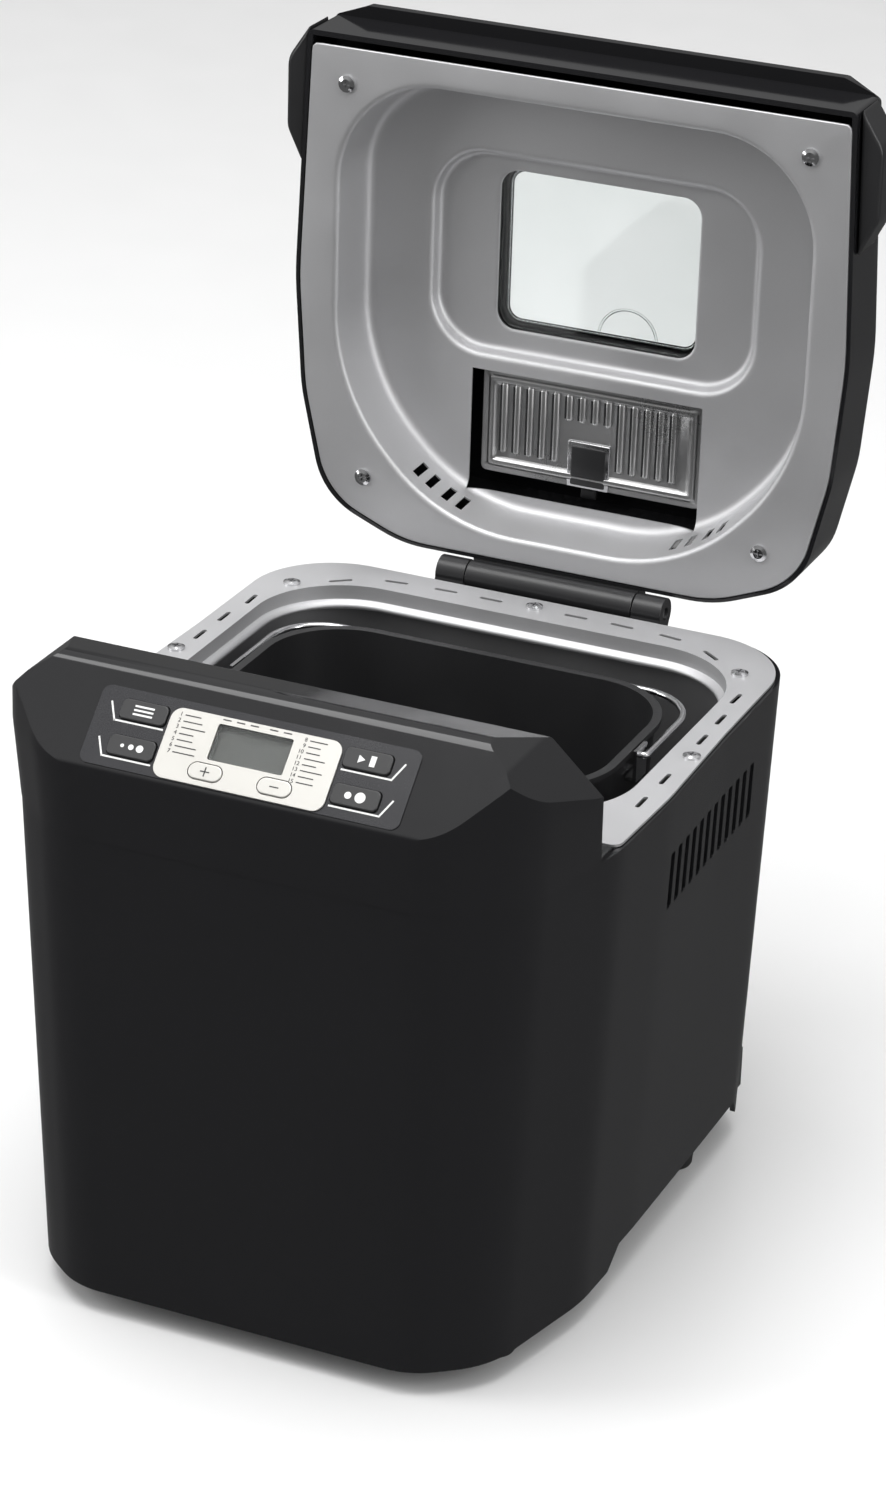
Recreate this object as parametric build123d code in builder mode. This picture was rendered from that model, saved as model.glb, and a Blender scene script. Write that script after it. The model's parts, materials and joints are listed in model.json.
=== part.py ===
from build123d import *
import math
import os

os.makedirs("parts", exist_ok=True)

# Bread machine with a front-top control panel, a hinged lid and a lift-out bread pan.
# Millimetres. +Z up, the front faces -Y, the origin is on the floor under the middle of the
# whole object with its lid standing open.

# ---- Driving dimensions -------------------------------------------------------------------
SKIRT_Z = 12.0  # lower edge of the outer housing
SEAM_Z = 233.4  # upper edge of the outer housing
DECK_Z = 235.0  # top of the metal deck plate
DECK_T = 1.2
WALL = 2.5  # moulded walls
SHEET = 0.8  # pressed steel

# Outlines are half outlines, right-hand corners from the front to the back.
HOUSING_TOP = [(86, -188.5), (117, -163), (131.5, -96), (132.5, -41), (130.5, 30), (130.2, 130.8)]
HOUSING_BOTTOM = [(80, -182), (108, -160), (123, -96), (124.5, -41), (124.5, 30), (124, 125)]
HOUSING_RADII = [35, 45, 90, 200, 200, 42]
PANEL_PLAN = [(88, -192.5), (119, -165), (131.8, -118), (131.8, -97)]
PANEL_SEAM = [(86, -189), (117, -163), (130.6, -105), (131.4, -97)]
PANEL_RADII = [35, 45, 20, 1]
DECK_PLAN = [(130, -96), (131.5, -41), (129.2, 30), (128.4, 128.6)]
DECK_RADII = [5, 200, 200, 42]

# Baking chamber and drive
CHAMBER_W, CHAMBER_D, CHAMBER_R = 228.8, 187.0, 44.0
CHAMBER_Y = 12.5  # middle of the chamber
FLOOR_Z = 70.0  # underside of the chamber floor
PAN_Y = 8.0  # pan middle and drive shaft axis
PAN_L, PAN_W, PAN_R = 188.0, 120.0, 38.0
PAN_FOOT_L, PAN_FOOT_W, PAN_FOOT_R = 170.0, 104.0, 30.0
PAN_RIM_Z, PAN_BOTTOM_Z = 231.0, 94.0
PAN_T = 1.5
BAIL_R = 1.6  # handle wire
BAIL_X, BAIL_REACH, BAIL_Z = 101.0, 65.0, 227.0
SHAFT_R, RUN_FIT = 4.0, 0.05
CHASSIS_Z, CHASSIS_T = 54.0, 2.0
BASE_Z, BASE_T = 21.5, 2.5
MOTOR_X, MOTOR_Y, MOTOR_R = 38.0, -136.0, 37.0
MOTOR_Z, MOTOR_H = 58.0, 62.0
PULLEY_Z, PULLEY_H = 33.0, 13.0
PULLEY_R, MOTOR_PULLEY_R = 40.0, 10.0
BELT_GAP, BELT_T, BELT_W = 0.3, 2.0, 10.0

# Lid, drawn standing open. The lid plane looks forward: x across, y up from the lower screws,
# positive offsets towards the front (the inner side of the lid).
HINGE_Y, HINGE_Z, HINGE_R = 141.0, 235.0, 7.5
KNUCKLE_HALF, HINGE_HALF, HINGE_PIN_R = 42.0, 57.0, 3.0
LID_Y, LID_Z = 143.5, 273.0
LID_DEPTH, LID_STRAIGHT, LIP_FROM, LIP_TO = 49.0, 27.0, 28.5, 35.0
LID_PLATE = [(78, -28.4), (119, -11.5), (131, 40), (135, 95), (130.4, 207)]
LID_EDGE = [(79, -30), (121, -13), (133, 40), (137, 95), (132.5, 213)]
LID_LIP = [(79, -30), (121, -13), (133, 40), (137, 95), (132, 213), (116, 219)]
LID_BROW = [(79, -30), (121, -13), (133, 40), (137, 95), (131.5, 210), (116, 218.5)]
LID_CROWN = [(66, -12), (103, 4), (114, 45), (116, 95), (112.5, 204), (100, 211)]
LID_RADII = [60, 35, 80, 150, 3]
LIP_RADII = [60, 35, 80, 150, 3, 3]
CROWN_RADII = [50, 30, 60, 100, 3, 3]
DOME = [(60, -17), (116, 42), (116, 194)]
DOME_RADII = [85, 100, 50]
DOME_DEPTH, DOME_DRAFT = 29.0, 3.0
PANE_STEP_DEPTH = 7.0
PANE_STEP_W, PANE_STEP_H, PANE_STEP_R, PANE_STEP_V = 160.0, 97.0, 26.0, 109.5
WINDOW_W, WINDOW_H, WINDOW_R, WINDOW_V = 99.2, 77.2, 9.0, 111.0
VENT_W, VENT_H, VENT_V = 116.0, 60.0, 23.0

# Control panel: a face at 45 degrees
FACE_LOW = (-192.0, 268.5)
FACE_MIDDLE = (-178.5, 282.0)  # middle of the overlay
FACE_HIGH = (-158.0, 302.5)
RIDGE = (-124.0, 292.0)
RIDGE_HALF, SHOULDER_Z = 108.0, 267.0
OVERLAY_W, OVERLAY_H, OVERLAY_T = 144.0, 35.0, 0.5
BEZEL_W, BEZEL_H, BEZEL_T, BEZEL_V = 77.0, 31.0, 0.8, -1.6
LCD_W, LCD_H, LCD_V = 33.2, 15.4, 2.6
KEY_X, KEY_W, KEY_H = 50.5, 21.0, 9.0
KEY_V = (8.4, -7.6)
OVAL_X, OVAL_V, OVAL_W, OVAL_H = 15.6, -11.0, 15.0, 7.2
KEY_GAP, KEY_PROUD, KEY_TRAVEL = 0.35, 1.2, 0.8
BOARD_DEPTH, BOARD_T = 12.0, 1.6

SCREW_R = 4.0  # pan-head screws
DECK_SCREWS = [(125, 0), (-125, 0), (112, 92.6), (-112, 92.6), (0, 119.5)]
LID_SCREWS = [(112.4, 190), (-112.4, 190), (99.9, 0), (-99.9, 0)]
BASE_BOSSES = [(109, -80), (-109, -80), (109, 96), (-109, 96)]
FEET = [(96, -128), (-96, -128), (106, 56), (-106, 56)]

LID = Plane(origin=(0, LID_Y, LID_Z), x_dir=(1, 0, 0), z_dir=(0, -1, 0))
FACE = Plane(
    origin=(0, *FACE_MIDDLE),
    x_dir=(1, 0, 0),
    z_dir=(0, -1, 1),
)


# ---- Shared shapes ------------------------------------------------------------------------
def outline(points, radii, plane, grow=0.0):
    """Face mirrored about x = 0, with rounded corners, grown or shrunk by an offset."""
    mirrored = [(-x, y) for x, y in reversed(points)]
    with BuildSketch(plane) as sketch:
        with BuildLine():
            FilletPolyline(*points, *mirrored, radius=radii + radii[::-1], close=True)
        make_face()
        if grow:
            offset(amount=grow)
    return sketch.sketch


def rounded(width, height, radius, plane, centre=(0, 0)):
    with BuildSketch(plane) as sketch:
        with Locations(centre):
            RectangleRounded(width, height, radius)
    return sketch.sketch


def level(z, y=0.0):
    """Horizontal plane at height z, moved back by y."""
    return Plane(origin=(0, y, z))


def chamber(grow, z):
    return rounded(CHAMBER_W + 2 * grow, CHAMBER_D + 2 * grow, CHAMBER_R + grow, level(z, CHAMBER_Y))


def panel_wedge(inset):
    """Solid form of the control panel housing, shrunk by inset on every side but the bottom."""
    top = FACE_HIGH[1] + 3
    with BuildSketch(Plane.YZ) as side:
        with BuildLine():
            FilletPolyline(
                (-189, SEAM_Z), (-192.5, 264), FACE_LOW, FACE_HIGH, RIDGE, (-112, SEAM_Z),
                radius=[0, 8, 3, 9, 2, 0], close=True,
            )
        make_face()
        if inset:
            offset(amount=-inset)
            with Locations((-150, SEAM_Z + inset / 2)):
                Rectangle(70, inset + 0.02)
    with BuildSketch(Plane.XZ) as ends:
        with BuildLine():
            FilletPolyline(
                (-140, SEAM_Z - 1), (-131.8, SHOULDER_Z), (-RIDGE_HALF, RIDGE[1] + 1.5), (-90, top),
                (90, top), (RIDGE_HALF, RIDGE[1] + 1.5), (131.8, SHOULDER_Z), (140, SEAM_Z - 1),
                radius=[0, 5, 9, 0, 0, 9, 5, 0], close=True,
            )
        make_face()
        if inset:
            offset(amount=-inset)
            with Locations((0, SEAM_Z + inset / 2)):
                Rectangle(262, inset + 2)
    with BuildPart() as wedge:
        loft([
            outline(PANEL_SEAM, PANEL_RADII, level(SEAM_Z), -inset),
            outline(PANEL_PLAN, PANEL_RADII, level(FACE_LOW[1]), -inset),
        ])
        extrude(outline(PANEL_PLAN, PANEL_RADII, level(FACE_LOW[1]), -inset), amount=40)
        extrude(side.sketch, amount=150, both=True, mode=Mode.INTERSECT)
        extrude(ends.sketch, amount=250, both=True, mode=Mode.INTERSECT)
    return wedge.part


def panel_holes(grow):
    """Cut-outs of the sloping face: keys, oval keys and the display."""
    with BuildSketch(FACE) as holes:
        with Locations(*[(side * KEY_X, v) for side in (-1, 1) for v in KEY_V]):
            RectangleRounded(KEY_W + 2 * grow, KEY_H + 2 * grow, 2.5)
        with Locations((-OVAL_X, OVAL_V), (OVAL_X, OVAL_V)):
            SlotOverall(OVAL_W + 2 * grow, OVAL_H + 2 * grow)
        with Locations((0, LCD_V)):
            RectangleRounded(LCD_W + 2 * grow, LCD_H + 2 * grow, 1.0)
    return holes.sketch


def pan_head_screws(places, plane, length, head_r=SCREW_R, head_h=1.6, shank_r=1.9):
    """Cross-head screws: heads stand on the plane, shanks go below it."""
    with BuildPart(plane) as screws:
        with Locations(*places):
            Cylinder(head_r, head_h * 0.6, align=(Align.CENTER, Align.CENTER, Align.MIN))
            Cylinder(shank_r, length, align=(Align.CENTER, Align.CENTER, Align.MAX))
        with Locations(*[(x, y, head_h * 0.6) for x, y in places]):
            Cone(head_r, head_r * 0.6, head_h * 0.4, align=(Align.CENTER, Align.CENTER, Align.MIN))
        with BuildSketch(plane.offset(head_h)):
            with Locations(*places):
                Rectangle(head_r * 1.05, 0.9)
                Rectangle(0.9, head_r * 1.05)
        extrude(amount=-0.9, mode=Mode.SUBTRACT)
    return screws


def post(x, y, radius, low, high, mode=Mode.ADD):
    """Upright cylinder between two heights."""
    with Locations((x, y, low)):
        Cylinder(radius, high - low, align=(Align.CENTER, Align.CENTER, Align.MIN), mode=mode)


def block(low, high, mode=Mode.ADD):
    """Box between two opposite corners."""
    size = [b - a for a, b in zip(low, high)]
    with Locations(tuple((a + b) / 2 for a, b in zip(low, high))):
        Box(*size, mode=mode)


# ---- Outer housing, base and feet ---------------------------------------------------------
SIDE_SLOTS, SIDE_SLOT_PITCH, SIDE_SLOT_W, SIDE_SLOT_H = 12, 9.1, 5.0, 27.0
SIDE_VENT_Y, SIDE_VENT_Z = 17.0, 191.5
BOSS_R, BOSS_H, BOSS_RIB_X, BOSS_RIB_W = 6.0, 20.0, 123.0, 5.0
GLAND_X, GLAND_Z, GLAND_R, CORD_BORE_R = 86.0, 62.0, 7.5, 3.6
FOOT_R, FOOT_TIP_R = 12.0, 9.5

with BuildPart() as main_housing:
    loft([
        outline(HOUSING_BOTTOM, HOUSING_RADII, level(SKIRT_Z)),
        outline(HOUSING_TOP, HOUSING_RADII, level(SEAM_Z)),
    ])
    loft([
        outline(HOUSING_BOTTOM, HOUSING_RADII, level(SKIRT_Z), -WALL),
        outline(HOUSING_TOP, HOUSING_RADII, level(SEAM_Z), -WALL),
    ], mode=Mode.SUBTRACT)
    for x, y in BASE_BOSSES:
        side = math.copysign(1, x)
        post(x, y, BOSS_R, BASE_Z + BASE_T, BASE_Z + BASE_T + BOSS_H)
        inner, outer = sorted((x, side * BOSS_RIB_X))
        block((inner, y - BOSS_RIB_W / 2, BASE_Z + BASE_T), (outer, y + BOSS_RIB_W / 2, BASE_Z + BASE_T + BOSS_H))
        post(x, y, 1.9, BASE_Z + BASE_T, BASE_Z + BASE_T + 12, Mode.SUBTRACT)
    # the lower edge is raised along the sides and the back, leaving legs at the rear corners
    with BuildSketch(Plane.YZ):
        with BuildLine():
            Polyline((-76, 5), (-56, BASE_Z - 0.5), (86, BASE_Z - 0.5), (98, 5), close=True)
        make_face()
    extrude(amount=150, both=True, mode=Mode.SUBTRACT)
    with BuildSketch(Plane.XZ):
        with BuildLine():
            Polyline((-92, 5), (-84, BASE_Z - 0.5), (84, BASE_Z - 0.5), (92, 5), close=True)
        make_face()
    extrude(amount=-150, mode=Mode.SUBTRACT)
    with BuildSketch(Plane.YZ):
        with Locations((SIDE_VENT_Y, SIDE_VENT_Z)):
            with GridLocations(SIDE_SLOT_PITCH, 0, SIDE_SLOTS, 1):
                RectangleRounded(SIDE_SLOT_W, SIDE_SLOT_H, 1.2)
    extrude(amount=150, both=True, mode=Mode.SUBTRACT)
    with BuildSketch(Plane.XZ.offset(-110)):
        with Locations((GLAND_X, GLAND_Z)):
            Circle(GLAND_R)
    extrude(amount=-30, mode=Mode.SUBTRACT)

with BuildPart() as cord_gland:
    with BuildSketch(Plane.XZ.offset(-120)):
        with Locations((GLAND_X, GLAND_Z)):
            Circle(GLAND_R)
    extrude(amount=-11)
    with BuildSketch(Plane.XZ.offset(-128)):
        with Locations((GLAND_X, GLAND_Z)):
            Circle(GLAND_R + 2.5)
    extrude(amount=-3)
    with BuildSketch(Plane.XZ.offset(-115)):
        with Locations((GLAND_X, GLAND_Z)):
            Circle(CORD_BORE_R)
    extrude(amount=-20, mode=Mode.SUBTRACT)

with BuildPart() as base_plate:
    extrude(outline(HOUSING_BOTTOM, HOUSING_RADII, level(BASE_Z), -WALL - 0.3), amount=BASE_T)
    for x, y in BASE_BOSSES:
        post(x, y, 2.1, BASE_Z - 1, BASE_Z + BASE_T + 1, Mode.SUBTRACT)
    with BuildSketch(level(BASE_Z)):
        with GridLocations(12, 0, 11, 1):
            with Locations((0, -60), (0, 60)):
                SlotOverall(36, 4, rotation=90)
    extrude(amount=BASE_T, mode=Mode.SUBTRACT)

with BuildPart() as rubber_feet:
    for x, y in FEET:
        with Locations((x, y, 0)):
            Cone(FOOT_TIP_R, FOOT_R, BASE_Z, align=(Align.CENTER, Align.CENTER, Align.MIN))

# ---- Deck plate round the chamber mouth ---------------------------------------------------
LIP_DEPTH = 7.0
DECK_SLOT_L, DECK_SLOT_W = 11.5, 2.2
DECK_SLOTS = [  # x, y, turn, on the right-hand side
    (21.4, 118.4, 0), (44.4, 118.4, -3), (69.0, 116.6, -8), (93.0, 106.0, -38),
    (120.2, 66.5, 88), (122.2, 42.5, 90), (122.6, 19.0, 90), (123.0, -26.0, 90), (122.6, -52.0, 90),
]

with BuildPart() as deck_plate:
    extrude(outline(DECK_PLAN, DECK_RADII, level(DECK_Z - DECK_T)), amount=DECK_T)
    extrude(chamber(DECK_T, DECK_Z - LIP_DEPTH), amount=LIP_DEPTH)
    extrude(chamber(0, DECK_Z - LIP_DEPTH), amount=LIP_DEPTH, mode=Mode.SUBTRACT)
    with BuildSketch(level(DECK_Z)):
        for x, y, turn in DECK_SLOTS:
            for side in (-1, 1):
                with Locations((side * x, y)):
                    SlotOverall(DECK_SLOT_L, DECK_SLOT_W, rotation=side * turn)
        with Locations(*DECK_SCREWS):
            Circle(2.1)
    extrude(amount=-DECK_T, mode=Mode.SUBTRACT)

deck_screws = pan_head_screws(DECK_SCREWS, level(DECK_Z), 9)
base_down = Plane(origin=(0, 0, BASE_Z), x_dir=(1, 0, 0), z_dir=(0, 0, -1))
base_screws = pan_head_screws([(x, -y) for x, y in BASE_BOSSES], base_down, 11)
with BuildPart() as housing_screws:
    add(deck_screws.part)
    add(base_screws.part)

# ---- Chamber liner and what is fixed in it ------------------------------------------------
LINER_GAP = 1.6
ELEMENT_R, ELEMENT_Z = 3.2, 88.0
ELEMENT_W, ELEMENT_D, ELEMENT_LEG_X = 206.0, 152.0, 16.0
SENSOR_Y, SENSOR_Z, SENSOR_R = 2.0, 205.0, 2.5
front_y = CHAMBER_Y - CHAMBER_D / 2
element_front = PAN_Y - ELEMENT_D / 2

with BuildPart() as chamber_liner:
    extrude(chamber(LINER_GAP + SHEET, FLOOR_Z), amount=DECK_Z - DECK_T - FLOOR_Z)
    extrude(chamber(LINER_GAP, FLOOR_Z + SHEET), amount=DECK_Z - FLOOR_Z, mode=Mode.SUBTRACT)
    post(0, PAN_Y, 8, FLOOR_Z - 1, FLOOR_Z + 2, Mode.SUBTRACT)
    # brackets under the heating element
    for side in (-1, 1):
        for y in (PAN_Y - 30, PAN_Y + 30):
            x = side * ELEMENT_W / 2
            block((x - 6, y - 6, FLOOR_Z + SHEET / 2), (x + 6, y + 6, FLOOR_Z + SHEET + 1))
            block((x - 1, y - 5, FLOOR_Z + SHEET / 2), (x + 1, y + 5, ELEMENT_Z - ELEMENT_R))
    with BuildSketch(Plane.XZ.offset(-front_y - 10)):
        with Locations((-ELEMENT_LEG_X, ELEMENT_Z), (ELEMENT_LEG_X, ELEMENT_Z)):
            Circle(5.5)
    extrude(amount=30, mode=Mode.SUBTRACT)
    with BuildSketch(Plane.YZ.offset(CHAMBER_W / 2 - 5)):
        with Locations((SENSOR_Y, SENSOR_Z)):
            Circle(SENSOR_R + 0.1)
    extrude(amount=15, mode=Mode.SUBTRACT)

with BuildPart() as pan_seat:
    post(0, PAN_Y, 60, FLOOR_Z + SHEET, 73)
    # spring clips hold the foot of the pan
    for side in (-1, 1):
        near, far = sorted((side * 57.4, side * 58.6))
        block((near, PAN_Y - 9, 72), (far, PAN_Y + 9, 91))
    post(0, PAN_Y, 46, 73, 79)
    post(0, PAN_Y, 42, 72.5, 80, Mode.SUBTRACT)
    post(0, PAN_Y, 14, 70, 80, Mode.SUBTRACT)

with BuildPart() as heating_element:
    with BuildLine() as element_path:
        FilletPolyline(
            (ELEMENT_LEG_X, front_y - 8, ELEMENT_Z), (ELEMENT_LEG_X, element_front, ELEMENT_Z),
            (ELEMENT_W / 2, element_front, ELEMENT_Z), (ELEMENT_W / 2, element_front + ELEMENT_D, ELEMENT_Z),
            (-ELEMENT_W / 2, element_front + ELEMENT_D, ELEMENT_Z), (-ELEMENT_W / 2, element_front, ELEMENT_Z),
            (-ELEMENT_LEG_X, element_front, ELEMENT_Z), (-ELEMENT_LEG_X, front_y - 8, ELEMENT_Z),
            radius=[5, 36, 36, 36, 36, 5],
        )
    with BuildSketch(Plane(origin=element_path.line @ 0, z_dir=element_path.line % 0)):
        Circle(ELEMENT_R)
    sweep()

with BuildPart() as element_insulators:
    for side in (-1, 1):
        with BuildSketch(Plane.XZ.offset(-front_y - 6)):
            with Locations((side * ELEMENT_LEG_X, ELEMENT_Z)):
                Circle(5.5)
        extrude(amount=12)
        with BuildSketch(Plane.XZ.offset(-front_y - 6)):
            with Locations((side * ELEMENT_LEG_X, ELEMENT_Z)):
                Circle(ELEMENT_R)
        extrude(amount=12, mode=Mode.SUBTRACT)

with BuildPart() as temperature_sensor:
    with BuildSketch(Plane.YZ.offset(104.5)):
        with Locations((SENSOR_Y, SENSOR_Z)):
            Circle(SENSOR_R)
    extrude(amount=18)
    with BuildSketch(Plane.YZ.offset(CHAMBER_W / 2 + LINER_GAP + SHEET)):
        with Locations((SENSOR_Y, SENSOR_Z)):
            Circle(5)
    extrude(amount=4)

with BuildPart() as thermal_fuse:
    with BuildSketch(Plane.XZ.offset(-front_y + LINER_GAP + SHEET)):
        with Locations((-60, 150)):
            RectangleRounded(26, 9, 2)
    extrude(amount=4)

with BuildPart() as heat_shield:
    with BuildSketch(level(61)):
        with BuildLine():
            Polyline(
                (-112, -74), (-88, -92), (88, -92), (112, -74),
                (113, -75), (88.4, -93), (-88.4, -93), (-113, -75), close=True,
            )
        make_face()
    extrude(amount=150)

# ---- Chassis, motor and belt drive --------------------------------------------------------
CHASSIS_TOP = CHASSIS_Z + CHASSIS_T
LINER_POSTS = [(80, -50), (-80, -50), (80, 75), (-80, 75)]
CHASSIS_POSTS = [(95, -96), (-95, -96), (95, 70), (-95, 70)]
MOTOR_MOUNTS = [(MOTOR_X + dx, MOTOR_Y + dy) for dx in (-25, 25) for dy in (-22, 22)]
BEARING_R, BUSH_R = 12.0, 7.0
ROTOR_R, STATOR_IN_R = 21.6, 22.2
drive_plane = Plane(origin=(0, PAN_Y, 0), x_dir=(1, 0, 0), z_dir=(0, -1, 0))
motor_plane = Plane(origin=(MOTOR_X, MOTOR_Y, 0), x_dir=(1, 0, 0), z_dir=(0, -1, 0))

with BuildPart() as chassis_frame:
    extrude(outline(HOUSING_BOTTOM, HOUSING_RADII, level(CHASSIS_Z), -7), amount=CHASSIS_T)
    for x, y in CHASSIS_POSTS:
        post(x, y, 6, BASE_Z + BASE_T, CHASSIS_Z)
    for x, y in LINER_POSTS:
        post(x, y, 5, CHASSIS_TOP, FLOOR_Z)
    post(0, PAN_Y, BEARING_R, CHASSIS_Z - 1, CHASSIS_TOP + 1, Mode.SUBTRACT)
    post(MOTOR_X, MOTOR_Y, 14, CHASSIS_Z - 1, CHASSIS_TOP + 1, Mode.SUBTRACT)
    for x, y in MOTOR_MOUNTS:
        post(x, y, 2.1, CHASSIS_Z - 1, CHASSIS_TOP + 1, Mode.SUBTRACT)

with BuildPart() as drive_bearing_housing:
    post(0, PAN_Y, BEARING_R, 48, FLOOR_Z)
    post(0, PAN_Y, 24, 66, FLOOR_Z)
    post(0, PAN_Y, BUSH_R, 47, FLOOR_Z + 1, Mode.SUBTRACT)

with BuildPart() as drive_bushes:
    for low, high in ((48, 56), (62, FLOOR_Z)):
        post(0, PAN_Y, BUSH_R, low, high)
    post(0, PAN_Y, SHAFT_R + RUN_FIT, 40, 80, Mode.SUBTRACT)


def pulley(plane, radius, hub_r, bore_r, web):
    """Grooved pulley for a ribbed belt, turned about the plane's upright axis."""
    low, high = PULLEY_Z, PULLEY_Z + PULLEY_H
    grooves, depth = 5, 1.4
    pitch = (high - low - 3) / grooves
    rim = [(radius, low), (radius, low + 1.5)]
    for i in range(grooves):
        start = low + 1.5 + i * pitch
        rim += [(radius - depth, start + pitch / 2), (radius, start + pitch)]
    rim += [(radius, high)]
    with BuildPart() as wheel:
        with BuildSketch(plane):
            with BuildLine():
                Polyline(*rim, (bore_r, high), (bore_r, low), close=True)
            make_face()
            if web:
                with Locations(((hub_r + radius - 6) / 2, low + 2.5), ((hub_r + radius - 6) / 2, high - 2.5)):
                    Rectangle(radius - 6 - hub_r, 5, mode=Mode.SUBTRACT)
        revolve(axis=Axis(plane.origin, (0, 0, 1)))
    return wheel


driven_pulley = pulley(drive_plane, PULLEY_R, 11, SHAFT_R, True)
motor_pulley = pulley(motor_plane, MOTOR_PULLEY_R, 6, SHAFT_R, False)

with BuildPart() as drive_belt:
    for grow, mode in ((BELT_GAP + BELT_T, Mode.ADD), (BELT_GAP, Mode.SUBTRACT)):
        with BuildSketch(level(PULLEY_Z + (PULLEY_H - BELT_W) / 2)) as loop:
            with Locations((0, PAN_Y)):
                Circle(PULLEY_R + grow)
            with Locations((MOTOR_X, MOTOR_Y)):
                Circle(MOTOR_PULLEY_R + grow)
            make_hull()
        extrude(loop.sketch, amount=BELT_W, mode=mode)

with BuildPart() as drive_shaft:
    post(0, PAN_Y, SHAFT_R, 30, 76)

with BuildPart() as drive_coupling:
    post(0, PAN_Y, 12, 72, 76)
    for side in (-1, 1):
        block((side * 9 - 2, PAN_Y - 4, 75), (side * 9 + 2, PAN_Y + 4, 84))
    post(0, PAN_Y, SHAFT_R, 71, 77, Mode.SUBTRACT)


def motor_cover(low, high, disc_low):
    with BuildPart() as cover:
        post(MOTOR_X, MOTOR_Y, MOTOR_R, low, high)
        inner_low, inner_high = (disc_low + 2.5, high) if disc_low == low else (low, disc_low)
        post(MOTOR_X, MOTOR_Y, MOTOR_R - 3, inner_low, inner_high, Mode.SUBTRACT)
        post(MOTOR_X, MOTOR_Y, 9, low, high)
        post(MOTOR_X, MOTOR_Y, SHAFT_R + RUN_FIT, low - 1, high + 1, Mode.SUBTRACT)
        with BuildSketch(level(disc_low)):
            with Locations((MOTOR_X, MOTOR_Y)):
                with PolarLocations(21, 8):
                    Circle(4)
        extrude(amount=2.5, mode=Mode.SUBTRACT)
    return cover


MOTOR_TOP = MOTOR_Z + MOTOR_H
lower_cover = motor_cover(MOTOR_Z, MOTOR_Z + 8, MOTOR_Z)
upper_cover = motor_cover(MOTOR_TOP - 8, MOTOR_TOP, MOTOR_TOP - 2.5)
with BuildPart() as motor_covers:
    add(lower_cover.part)
    add(upper_cover.part)

with BuildPart() as motor_stator:
    post(MOTOR_X, MOTOR_Y, MOTOR_R, MOTOR_Z + 8, MOTOR_TOP - 8)
    post(MOTOR_X, MOTOR_Y, STATOR_IN_R, MOTOR_Z + 7, MOTOR_TOP, Mode.SUBTRACT)

with BuildPart() as motor_rotor:
    post(MOTOR_X, MOTOR_Y, ROTOR_R, MOTOR_Z + 10, MOTOR_TOP - 10)
    post(MOTOR_X, MOTOR_Y, SHAFT_R, 31, MOTOR_TOP - 1)

with BuildPart() as motor_mounts:
    for x, y in MOTOR_MOUNTS:
        post(x, y, 5, CHASSIS_TOP, MOTOR_Z)
        post(x, y, 2.1, CHASSIS_TOP - 1, MOTOR_Z + 1, Mode.SUBTRACT)

with BuildPart() as power_board:
    block((-100, -146, 64), (-52, -100, 65.6))
    for x in (-96, -56):
        for y in (-142, -104):
            post(x, y, 3, CHASSIS_TOP, 64)

with BuildPart() as power_components:
    post(-26, -138, 15, CHASSIS_TOP, 98)  # motor run capacitor
    for x in (-31, -21):
        block((x - 0.4, -141, 97), (x + 0.4, -135, 105))
    block((-96, -138, 65.6), (-78, -116, 82))
    block((-72, -140, 65.6), (-58, -126, 80))
    post(-64, -114, 6, 65.6, 82)
    block((-92, -110, 65.6), (-72, -104, 75))

# ---- Control panel ------------------------------------------------------------------------
BOARD_POSTS = [(x, y) for x in (-70, 70) for y in (-10, 11)]
KEYS = {
    "menu_button": (-KEY_X, KEY_V[0]), "color_button": (-KEY_X, KEY_V[1]),
    "start_stop_button": (KEY_X, KEY_V[0]), "loaf_button": (KEY_X, KEY_V[1]),
    "plus_button": (-OVAL_X, OVAL_V), "minus_button": (OVAL_X, OVAL_V),
}

with BuildPart() as control_panel_housing:
    add(panel_wedge(0))
    add(panel_wedge(WALL), mode=Mode.SUBTRACT)
    extrude(panel_holes(KEY_GAP), amount=-6, mode=Mode.SUBTRACT)
    with BuildSketch(FACE.offset(-BOARD_DEPTH)):
        with Locations(*BOARD_POSTS):
            Circle(3)
    extrude(amount=BOARD_DEPTH - 1)
    # ledge that carries the front edge of the deck plate
    block((-128, -113, SEAM_Z), (128, -97, DECK_Z))

with BuildPart() as control_overlay:
    extrude(rounded(OVERLAY_W, OVERLAY_H, 4, FACE), amount=OVERLAY_T)
    extrude(panel_holes(KEY_GAP), amount=OVERLAY_T, mode=Mode.SUBTRACT)

with BuildPart() as display_bezel:
    extrude(rounded(BEZEL_W, BEZEL_H, 5, FACE.offset(OVERLAY_T), (0, BEZEL_V)), amount=BEZEL_T)
    extrude(panel_holes(KEY_GAP), amount=OVERLAY_T + BEZEL_T, mode=Mode.SUBTRACT)

with BuildPart() as display_lens:
    extrude(rounded(LCD_W, LCD_H, 1, FACE.offset(-WALL - 0.3), (0, LCD_V)), amount=WALL + 1.2)

with BuildPart() as lcd_module:
    extrude(rounded(LCD_W + 6, 18, 1, FACE.offset(-8), (0, 3.0)), amount=8 - WALL - 0.3)

with BuildPart() as control_board:
    extrude(rounded(150, 29, 2, FACE.offset(-BOARD_DEPTH - BOARD_T)), amount=BOARD_T)
    with BuildSketch(FACE.offset(-BOARD_DEPTH - BOARD_T)):
        with Locations(*BOARD_POSTS):
            Circle(1.3)
    extrude(amount=BOARD_T, mode=Mode.SUBTRACT)

with BuildPart() as tactile_switches:
    with BuildSketch(FACE.offset(-BOARD_DEPTH)):
        with Locations(*KEYS.values()):
            Rectangle(6, 6)
    extrude(amount=4)


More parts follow.
